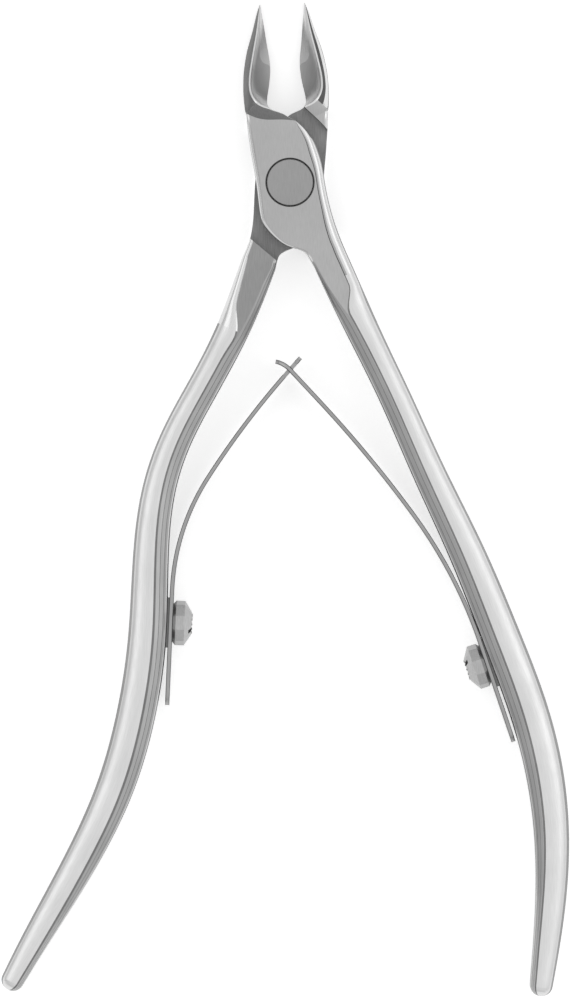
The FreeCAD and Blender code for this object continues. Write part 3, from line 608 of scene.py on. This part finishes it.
def prism(points, low, high):
    """A closed prism on the outline, between two heights."""
    bm = bmesh.new()
    face = bm.faces.new([bm.verts.new((x, y, low)) for x, y in points])
    grown = bmesh.ops.extrude_face_region(bm, geom=[face])["geom"]
    raised = [g for g in grown if isinstance(g, bmesh.types.BMVert)]
    bmesh.ops.translate(bm, vec=(0, 0, high - low), verts=raised)
    bmesh.ops.recalc_face_normals(bm, faces=bm.faces)
    return bm


def turned(profile, sides=ROUND_SIDES):
    """A closed piece turned about Z: the profile is radius and height, and starts and ends on the axis."""
    bm = bmesh.new()
    rings = []
    for radius, z in profile:
        if radius == 0:
            rings.append([bm.verts.new((0, 0, z))] * sides)
        else:
            angles = [2 * math.pi * k / sides for k in range(sides)]
            rings.append([bm.verts.new((radius * math.cos(a), radius * math.sin(a), z)) for a in angles])
    for low, high in zip(rings, rings[1:]):
        for k in range(sides):
            ring = [low[k], low[(k + 1) % sides], high[(k + 1) % sides], high[k]]
            ring = [v for i, v in enumerate(ring) if v not in ring[:i]]
            if len(ring) > 2:
                bm.faces.new(ring)
    bmesh.ops.recalc_face_normals(bm, faces=bm.faces)
    return bm


def combine(target, tool, operation):
    """Applies an exact boolean to target, and removes the tool."""
    step = target.modifiers.new(operation, "BOOLEAN")
    step.operation, step.solver, step.object = operation, "EXACT", tool
    step.material_mode = "TRANSFER"
    bpy.context.view_layer.update()
    result = bpy.data.meshes.new_from_object(target.evaluated_get(bpy.context.evaluated_depsgraph_get()))
    target.modifiers.remove(step)
    target.data = result
    bpy.data.objects.remove(tool)


def sharpen(mesh, degrees=11.0):
    """Smooth faces, with an edge kept crisp where its faces meet at more than this angle."""
    bm = bmesh.new()
    bm.from_mesh(mesh)
    for face in bm.faces:
        face.smooth = True
    for edge in bm.edges:
        if len(edge.link_faces) == 2 and edge.calc_face_angle(0) > math.radians(degrees):
            edge.smooth = False
    bm.to_mesh(mesh)
    bm.free()


def set_in_frame(piece, half):
    """From the closed drawing in millimetres to the nipper's open rest place in metres."""
    turn = Matrix.Rotation(math.radians(half["side"] * half["lean"]), 4, "Z")
    flip = Matrix.Diagonal((half["side"], 1, 1, 1))
    piece.data.transform(Matrix.Scale(MM, 4) @ turn @ flip)
    if half["side"] < 0:
        piece.data.flip_normals()


# %% [markdown]
# ## Where a leaf spring sits
# Each leaf lies on a small flat boss on the inner wall of its handle. The boss, the screw and the leaf all
# take their place from one seat: a point, the way up the wall and the way out of it.

# %% The seat of a leaf
SEAT_HALF, SEAT_WIDTH, SEAT_RISE, SEAT_ROOT = 3.0, 3.4, 0.2, 2.2


def turned_by(vector, degrees):
    """A plan vector turned to the left by this angle."""
    a = math.radians(degrees)
    return np.array([vector[0] * math.cos(a) - vector[1] * math.sin(a),
                     vector[0] * math.sin(a) + vector[1] * math.cos(a)])


def opened(half, vector):
    """A point or direction of the closed drawing, where it is with the nipper open."""
    return turned_by((half["side"] * vector[0], vector[1]), half["side"] * half["lean"])


def seat_of(half):
    """The seat's point, the way up along it and the way out of it, in the closed drawing."""
    wall, _, _ = handle_rows(half, np.linspace(0, 1, 400))
    i = int(np.argmin(np.abs(wall[:, 1] + half["seat"])))
    up = wall[i - 1] - wall[i + 1]
    up = turned_by(up / np.linalg.norm(up), half["seat_turn"])
    away = np.array([-up[1], up[0]])
    return wall[i] + away * SEAT_RISE, up, away


def seat_boss(half):
    """The boss under the leaf, rooted inside the handle."""
    point, up, away = seat_of(half)
    root = away * SEAT_ROOT
    corners = [point + up * SEAT_HALF, point - up * SEAT_HALF, point - up * SEAT_HALF - root,
               point + up * SEAT_HALF - root]
    return prism([tuple(c) for c in corners], MIDDLE - SEAT_WIDTH / 2, MIDDLE + SEAT_WIDTH / 2)


for half in (FRONT, REAR):
    print(half["name"], "seat at", seat_of(half)[0].round(2))

# %% Both halves
def bore_profile(front):
    """Radius and height of the cut for the pivot: the head's seat and the pin in front, the foot behind."""
    if not front:
        foot = FOOT_RADIUS + FOOT_PLAY
        return [(0, -0.5), (foot + 0.43, -0.5), (foot, -0.05), (foot, TOP), (0, TOP)]
    pin, seat, floor = PIN_RADIUS + PIN_PLAY, HEAD_RADIUS + HEAD_PLAY, TOP - HEAD_DEPTH
    return [(0, MIDDLE - 1), (pin, MIDDLE - 1), (pin, floor), (seat, floor), (seat, TOP - RIM_BREAK),
            (seat + 0.42, TOP + 0.34), (0, TOP + 0.35)]


def make_half(half):
    """One forging with its boss, its lap recess and its bore, set in its open place."""
    name, front = half["name"], half["side"] > 0
    piece = mesh_object(f"{name}_half_forging", solid_half(half), FINISHES)
    # The boss is painted dark, as the shade under the leaf.
    combine(piece, mesh_object("boss", seat_boss(half), [PAINTED_SHADE]), "UNION")
    shoulder = spline(range(len(JAW_SHOULDER)), JAW_SHOULDER, np.linspace(0, len(JAW_SHOULDER) - 1, 24))
    low, high = (-2, MIDDLE + LAP_GAP / 2) if front else (MIDDLE - LAP_GAP / 2, TOP + 2)
    recess = prism([tuple(p) for p in shoulder] + RECESS_REST, low, high)
    # The recess and the bore leave coarser ground faces, painted darker as shade.
    combine(piece, mesh_object("recess", recess, [RECESS_GRIND_AND_SHADE]), "DIFFERENCE")
    combine(piece, mesh_object("bore", turned(bore_profile(front)), [RECESS_GRIND_AND_SHADE]), "DIFFERENCE")
    sharpen(piece.data)
    set_in_frame(piece, half)
    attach(piece, name)
    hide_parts(f"{name}_half")
    print(piece.name, len(piece.data.polygons), "faces")
    return piece


front_half = make_half(FRONT)
rear_half = make_half(REAR)

# %% [markdown]
# ## The pivot screw
# Its head lies flush in the front half, faced on a lathe, with a fine dark ring of clearance round it, whose
# cut rim is painted darker as shade. The foot shows at the back with its driver slot. A turned profile makes
# it, and its rims are broken slightly.

# %% Turned pivot
SCREW_FACE = steel("faced_screw_head", "#A2A2A2", "#949494", 0.38, 0.1, 1.6)


def make_pivot():
    """The head, the pin and the foot turned in one, with the driver slot cut across the foot."""
    under_head, shoulder = TOP - HEAD_DEPTH + PIN_PLAY, MIDDLE - LAP_GAP / 2
    profile = [(0, 0), (FOOT_RADIUS - 0.15, 0), (FOOT_RADIUS, 0.15), (FOOT_RADIUS, shoulder - 0.02),
               (PIN_RADIUS, shoulder), (PIN_RADIUS, under_head), (HEAD_RADIUS, under_head),
               (HEAD_RADIUS, TOP - RIM_BREAK), (HEAD_RADIUS - RIM_BREAK, TOP), (0, TOP)]
    piece = mesh_object("pivot_screw", turned(profile), [SCREW_FACE])
    # The slot's faces are painted darker as shade.
    slot = mesh_object("slot", prism([(-0.3, -3), (0.3, -3), (0.3, 3), (-0.3, 3)], -1, 0.7), [RECESS_GRIND_AND_SHADE])
    combine(piece, slot, "DIFFERENCE")
    sharpen(piece.data, 25)
    piece.data.transform(Matrix.Scale(MM, 4))
    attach(piece, "rear")
    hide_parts("joint_screw")
    return piece


pivot = make_pivot()
print("pivot screw:", len(pivot.data.polygons), "faces")

# %% [markdown]
# ## The leaf springs
# A leaf is a strip of rolled spring steel: flat on its seat, bent off it, easing out, and straight to the
# hook. Near the tip one leaf has a window and curls over, and the other is necked to pass through it.
# Only its own path is needed, so it is swept in mesh code, with its edges rounded by rolling.

# %% The path of a leaf
LEAF_THICK, LEAF_WIDE, LEAF_TIP = 0.5, 4.4, 3.3
LEAF_TAIL, HOOK_DISTANCE, HOOK_LENGTH = 9.9, 22.4, 1.9
CURL_RADIUS, CURL_TURN = 3.2, 36.0
FLAT_STEPS, ARC_STEPS, RUN_STEPS, CURL_STEPS = 16, 24, 8, 12


def go_straight(points, ways, length, steps):
    """Goes on along the last heading, in equal steps."""
    start, way = points[-1], ways[-1]
    for k in range(1, steps + 1):
        points.append(start + way * length * k / steps)
        ways.append(way)


def go_round(points, ways, radius, turn, steps):
    """Goes on round an arc that turns to the left by this angle, in equal steps."""
    step = turn / steps
    for _ in range(steps):
        chord = turned_by(ways[-1], step / 2)
        points.append(points[-1] + chord * 2 * radius * math.sin(math.radians(step) / 2))
        ways.append(turned_by(chord, step / 2))


def leaf_path(half, first_turn):
    """Points and headings along the leaf up to its straight run, for a first bend of this many degrees."""
    point, up, away = seat_of(half)
    points, ways = [point + away * LEAF_THICK / 2 - up * LEAF_TAIL], [up]
    go_straight(points, ways, LEAF_TAIL + half["lift"], FLAT_STEPS)
    go_round(points, ways, half["bend"], first_turn, ARC_STEPS)
    go_round(points, ways, half["ease"], half["ease_turn"], ARC_STEPS)
    return points, ways


def full_leaf_path(half):
    """The whole path: the first bend is found by halving, so that the straight run meets the hook."""
    hook = turned_by((0, -HOOK_DISTANCE), -half["lean"])
    low, high = 0.0, 90.0
    for _ in range(40):
        turn = (low + high) / 2
        points, ways = leaf_path(half, turn)
        gap = hook - points[-1]
        left = ways[-1][0] * gap[1] - ways[-1][1] * gap[0]
        low, high = (turn, high) if left > 0 else (low, turn)
    go_straight(points, ways, float(np.dot(gap, ways[-1])), RUN_STEPS)
    hook_at = len(points) - 1
    if half["side"] > 0:
        go_round(points, ways, CURL_RADIUS, CURL_TURN, CURL_STEPS)
    else:
        go_straight(points, ways, HOOK_LENGTH, RUN_STEPS)
    return np.array(points), np.array(ways), hook_at


leaf_points, _, hook_index = full_leaf_path(FRONT)
print("front leaf:", len(leaf_points), "stations, hook at", leaf_points[hook_index].round(2))

# %% Sweeping the strip
SPRING = steel("rolled_spring_strip", "#AAAAAA", "#949494", 0.3, 0.08, 4.0, follow=True)
EDGE_ROUND, STATION = 0.12, 0.4
WINDOW_WIDE, NECK_WIDTH = 1.8, 1.4


def resample(points, ways):
    """The path at even stations: how far along each is, its point and its heading."""
    run = np.concatenate([[0], np.cumsum(np.linalg.norm(np.diff(points, axis=0), axis=1))])
    at = np.linspace(0, run[-1], int(run[-1] / STATION) + 1)
    middle, way = (np.stack([np.interp(at, run, v[:, k]) for k in range(2)], 1) for v in (points, ways))
    return at, middle, way / np.linalg.norm(way, axis=1)[:, None]


def half_width_at(run, total, hook_run):
    """Half the leaf's width: it tapers from the seat to the hook, and both of its ends are rounded."""
    taper = np.clip((run - LEAF_TAIL) / (hook_run - LEAF_TAIL), 0, 1)
    width = (LEAF_WIDE + (LEAF_TIP - LEAF_WIDE) * taper) / 2
    to_end, tip = min(run, total - run), LEAF_WIDE * 0.4
    return width * (0.3 + 0.7 * math.sqrt(1 - (1 - to_end / tip) ** 2)) if to_end < tip else width


def leaf_strip(at, middle, way, hook_run):
    """The strip swept along its stations. Its rolled edges are painted darker than its faces, as shade."""
    bm = bmesh.new()
    uv = bm.loops.layers.uv.new("grain")
    t, r = LEAF_THICK / 2, EDGE_ROUND
    edge = [(-t, r), (-t + r * 0.7, 0.03), (0, 0), (t - r * 0.7, 0.03), (t, r)]
    rings = []
    for s, p, h in zip(at, middle, way):
        width = half_width_at(s, at[-1], hook_run)
        section = ([(a, b - width) for a, b in edge] + [(t, 0)]
                   + [(a, width - b) for a, b in edge[::-1]] + [(-t, 0)])
        rings.append([bm.verts.new((p[0] - h[1] * a, p[1] + h[0] * a, MIDDLE + b)) for a, b in section])
    corners = (0, 3, 6, 9)
    for i, (low, high) in enumerate(zip(rings, rings[1:])):
        for k in range(len(low)):
            n = (k + 1) % len(low)
            face = bm.faces.new([low[k], low[n], high[n], high[k]])
            # Painted shade: the rounded edge faces take the dark steel.
            face.material_index = 1 if k in corners else 0
            for loop, place in zip(face.loops, ((k, i), (k + 1, i), (k + 1, i + 1), (k, i + 1))):
                loop[uv].uv = (place[0] * STATION, place[1] * STATION)
    bm.faces.new(rings[0])
    bm.faces.new(rings[-1])
    bmesh.ops.recalc_face_normals(bm, faces=bm.faces)
    return bm


def hook_cuts(half, point, heading):
    """The window of the front leaf, or the two cuts that leave the rear leaf's neck."""
    front = half["side"] > 0
    side = np.array([-heading[1], heading[0]]) * 1.5
    along = heading * (1.2 if front else 1.1)
    box = [tuple(point + corner) for corner in (-along - side, -along + side, along + side, along - side)]
    if front:
        return [prism(box, MIDDLE - WINDOW_WIDE / 2, MIDDLE + WINDOW_WIDE / 2)]
    return [prism(box, MIDDLE + NECK_WIDTH / 2, TOP + 1), prism(box, -1, MIDDLE - NECK_WIDTH / 2)]


def make_leaf(half):
    """One leaf with its hook, bent between its seat and its straight run."""
    name = half["name"]
    points, ways, hook_at = full_leaf_path(half)
    at, middle, way = resample(points, ways)
    hook_run = float(at[np.argmin(np.linalg.norm(middle - points[hook_at], axis=1))])
    piece = mesh_object(f"{name}_leaf", leaf_strip(at, middle, way, hook_run), [SPRING, PAINTED_SHADE])
    for cut in hook_cuts(half, points[hook_at], ways[hook_at]):
        combine(piece, mesh_object("hook_cut", cut, [SPRING]), "DIFFERENCE")
    sharpen(piece.data, 30)
    set_in_frame(piece, half)
    point, up, _ = seat_of(half)
    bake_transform(piece)
    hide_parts(f"{name}_leaf_spring")
    print(piece.name, len(piece.data.polygons), "faces, total length in mm", round(at[-1], 1))
    return piece


front_leaf = make_leaf(FRONT)
rear_leaf = make_leaf(REAR)

# %% [markdown]
# ## The spring screws
# A low button head with a faceted wall, so that fingers can turn it, a cone above it and a small crown of
# teeth round its slot. The crown is the same tooth many times round a circle, which is work for Geometry
# Nodes: change one number and the whole crown changes.

# %% A tree that sets teeth round a rim
def teeth_tree(material):
    """A node tree that sets small pointed teeth round a circle, each turned to face outwards."""
    tree = bpy.data.node_groups.new("rim_teeth", "GeometryNodeTree")
    sizes = {"Teeth": 18, "Rim Radius": 2.2, "Rim Height": 1.9, "Tooth Size": 0.42}
    for name, value in sizes.items():
        kind = "NodeSocketInt" if isinstance(value, int) else "NodeSocketFloat"
        tree.interface.new_socket(name, in_out="INPUT", socket_type=kind).default_value = value
    tree.interface.new_socket("Geometry", in_out="OUTPUT", socket_type="NodeSocketGeometry")
    given = node(tree, "NodeGroupInput", (-900, 0))
    ring = node(tree, "GeometryNodeMeshCircle", (-700, 100),
                [(given, "Teeth", "Vertices"), (given, "Rim Radius", "Radius")])
    lift = node(tree, "ShaderNodeCombineXYZ", (-700, -120), [(given, "Rim Height", "Z")])
    placed = node(tree, "GeometryNodeSetPosition", (-500, 100),
                  [(ring, "Mesh", "Geometry"), (lift, "Vector", "Offset")])
    tooth = node(tree, "GeometryNodeMeshCone", (-500, -200), [(given, "Tooth Size", "Radius Bottom")],
                 **{"Vertices": 4, "Radius Top": 0.08, "Depth": 0.22})
    spot = node(tree, "GeometryNodeInputPosition", (-500, -420))
    facing = node(tree, "FunctionNodeAlignRotationToVector", (-300, -420),
                  [(spot, "Position", "Vector")], axis="X")
    joined = [(placed, "Geometry", "Points"), (tooth, "Mesh", "Instance"), (facing, "Rotation", "Rotation")]
    teeth = node(tree, "GeometryNodeInstanceOnPoints", (-100, 0), joined)
    real = node(tree, "GeometryNodeRealizeInstances", (100, 0), [(teeth, "Instances", "Geometry")])
    painted = node(tree, "GeometryNodeSetMaterial", (300, 0),
                   [(real, "Geometry", "Geometry")], Material=material)
    node(tree, "NodeGroupOutput", (500, 0), [(painted, "Geometry", "Geometry")])
    return tree


BUTTON = steel("turned_button_head", "#BEBEBE", "#9E9E9E", 0.34, 0.1, 0.9)
TEETH = teeth_tree(BUTTON)
print("tree inputs:", [s.name for s in TEETH.interface.items_tree if s.in_out == "INPUT"])

# %% Button heads
BUTTON_RADIUS, BUTTON_HEIGHT, FACETS = 2.68, 2.35, 10
STEM_RADIUS, STEM_LENGTH, SLOT_WIDE, SLOT_DEEP = 1.0, 3.0, 0.5, 0.45
CROWN = {"Teeth": 12, "Rim Radius": 1.12, "Rim Height": BUTTON_HEIGHT - 0.16, "Tooth Size": 0.2}
SLOT_TURN = 35  # degrees, as a hand happened to leave the slot


def rim_of_teeth(values):
    """The tree's result for these inputs, as a plain mesh."""
    holder = mesh_object("teeth", bmesh.new(), [])
    grow = holder.modifiers.new("teeth", "NODES")
    grow.node_group = TEETH
    for socket in TEETH.interface.items_tree:
        if socket.in_out == "INPUT" and socket.name in values:
            grow[socket.identifier] = values[socket.name]
    bpy.context.view_layer.update()
    mesh = bpy.data.meshes.new_from_object(holder.evaluated_get(bpy.context.evaluated_depsgraph_get()))
    holder.modifiers.remove(grow)
    bpy.data.objects.remove(holder)
    return mesh


def button_mesh(name):
    """The head and stem about Z with the leaf's face at z = 0, in millimetres."""
    top = BUTTON_HEIGHT
    profile = [(0, -STEM_LENGTH), (STEM_RADIUS, -STEM_LENGTH), (STEM_RADIUS, 0), (2.3, 0),
               (BUTTON_RADIUS, 0.35), (BUTTON_RADIUS, top - 0.95), (1.4, top - 0.14), (1.3, top - 0.1),
               (0, top - 0.1)]
    head = mesh_object(name, turned(profile, FACETS), [BUTTON])
    x, y = SLOT_WIDE / 2, 3.5
    slot = prism([(-x, -y), (x, -y), (x, y), (-x, y)], top - SLOT_DEEP, top + 1)
    # The slot's faces are painted darker as shade.
    combine(head, mesh_object("slot", slot, [RECESS_GRIND_AND_SHADE]), "DIFFERENCE")
    ring = bpy.data.objects.new("ring", rim_of_teeth(CROWN))
    bpy.context.scene.collection.objects.link(ring)
    combine(head, ring, "UNION")
    sharpen(head.data, 24)
    return head


def make_button(half):
    """A spring screw on its leaf, with its stem in the handle."""
    name = half["name"]
    piece = button_mesh(f"{name}_button_screw")
    point, _, away = seat_of(half)
    spot, axis = opened(half, point + away * LEAF_THICK), opened(half, away)
    z_way, y_way = Vector((*axis, 0)), Vector((0, 0, 1))
    place = Matrix((y_way.cross(z_way), y_way, z_way)).transposed().to_4x4()
    place.translation = Vector((*spot, MIDDLE))
    slot_turn = Matrix.Rotation(math.radians(SLOT_TURN), 4, "Z")
    piece.data.transform(Matrix.Scale(MM, 4) @ place @ slot_turn)
    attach(piece, name)
    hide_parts(f"{name}_spring_screw")
    print(piece.name, len(piece.data.polygons), "faces at", spot.round(2))
    return piece


front_button = make_button(FRONT)
rear_button = make_button(REAR)

# %% [markdown]
# ## The studio
# Polished steel shows what is round it, so the studio is part of its look. The nipper lies on a pale floor
# in a bright tent. The tent is darker towards its foot and brighter to one side, so that a rounded edge,
# which mirrors the low parts of it, is drawn as a line of its own.

# %% Floor, tent and lamps
def seen_directly(tree, x, y):
    """1 for a ray from the camera, off a gloss or through glass, and 0 for one that lights the object."""
    rays = node(tree, "ShaderNodeLightPath", (x, y))
    seen = node(tree, "ShaderNodeMath", (x + 200, y),
                [(rays, "Is Camera Ray", 0), (rays, "Is Glossy Ray", 1)], operation="MAXIMUM")
    return node(tree, "ShaderNodeMath", (x + 400, y),
                [(seen, "Value", 0), (rays, "Is Transmission Ray", 1)], operation="MAXIMUM")


def pale_floor():
    """A matt white board that is a little brighter to the eye than its light alone makes it."""
    bm = bmesh.new()
    bmesh.ops.create_grid(bm, x_segments=1, y_segments=1, size=1.2)
    material = bpy.data.materials.new("matt_white_board")
    material.use_nodes = True
    tree = material.node_tree
    shader = tree.nodes["Principled BSDF"]
    shader.inputs["Base Color"].default_value = linear("#F4F4F4")
    shader.inputs["Roughness"].default_value = 0.9
    shader.inputs["Specular IOR Level"].default_value = 0.1
    shader.inputs["Emission Color"].default_value = (1, 1, 1, 1)
    glow = node(tree, "ShaderNodeMath", (-120, 200), [(seen_directly(tree, -700, 200), "Value", 0)],
                operation="MULTIPLY")
    glow.inputs[1].default_value = 0.6
    tree.links.new(glow.outputs["Value"], shader.inputs["Emission Strength"])
    mesh_object("floor", bm, [material])


def bright_world():
    """The tent: a plain level that lights the object, and a shaded one that its polish mirrors."""
    world = bpy.data.worlds.new("tent")
    world.use_nodes = True
    bpy.context.scene.world = world
    tree = world.node_tree
    back = tree.nodes["Background"]
    back.inputs["Color"].default_value = (1, 1, 1, 1)
    way = node(tree, "ShaderNodeTexCoord", (-900, -300))
    parts = node(tree, "ShaderNodeSeparateXYZ", (-700, -300), [(way, "Generated", "Vector")])
    height = node(tree, "ShaderNodeMapRange", (-500, -300), [(parts, "Z", "Value")],
                  clamp=True, **{"From Max": 0.8, "To Min": 0.72, "To Max": 1.0})
    side = node(tree, "ShaderNodeMath", (-500, -560), [(parts, "X", 0)], operation="MULTIPLY")
    side.inputs[1].default_value = 0.12
    tent = node(tree, "ShaderNodeMath", (-300, -300), [(height, "Result", 0), (side, "Value", 1)],
                operation="ADD")
    level = node(tree, "ShaderNodeMix", (-120, 0),
                 [(seen_directly(tree, -700, 0), "Value", "Factor"), (tent, "Value", "B")], A=0.55)
    tree.links.new(level.outputs["Result"], back.inputs["Strength"])


def soft_lamp(name, place, power):
    """A square softbox of 0.4 m that faces the nipper."""
    data = bpy.data.lights.new(name, "AREA")
    data.shape, data.size, data.energy = "SQUARE", 0.4, power
    lamp = bpy.data.objects.new(name, data)
    bpy.context.scene.collection.objects.link(lamp)
    lamp.location = place
    lamp.rotation_euler = (CENTRE - place).to_track_quat("-Z", "Y").to_euler()


CENTRE = Vector((-0.54, -38.04, 0)) * MM  # the middle of the view, on the floor
pale_floor()
bright_world()
soft_lamp("right_softbox", CENTRE + Vector((0.45, 0.1, 0.45)), 0.24)
soft_lamp("left_softbox", CENTRE + Vector((-0.45, 0.1, 0.5)), 0.26)
print("lamps:", [lamp.name for lamp in bpy.data.lights])

# %% [markdown]
# ## The camera
# The nipper is shown flat, from straight above, with a long lens, so that both handles keep their true
# shape. The frame is 120 mm tall at half the joint's thickness.

# %% Long lens from above
VIEW_TALL, LENS, SENSOR = 0.12, 360.0, 36.0
camera_data = bpy.data.cameras.new("camera")
camera_data.lens, camera_data.sensor_width = LENS, SENSOR
camera = bpy.data.objects.new("camera", camera_data)
bpy.context.scene.collection.objects.link(camera)
camera.location = CENTRE + Vector((0, 0, MIDDLE * MM + VIEW_TALL * LENS / SENSOR))
bpy.context.scene.camera = camera
bpy.context.scene.view_settings.view_transform = "Standard"
print("camera height in m:", round(camera.location.z, 3))
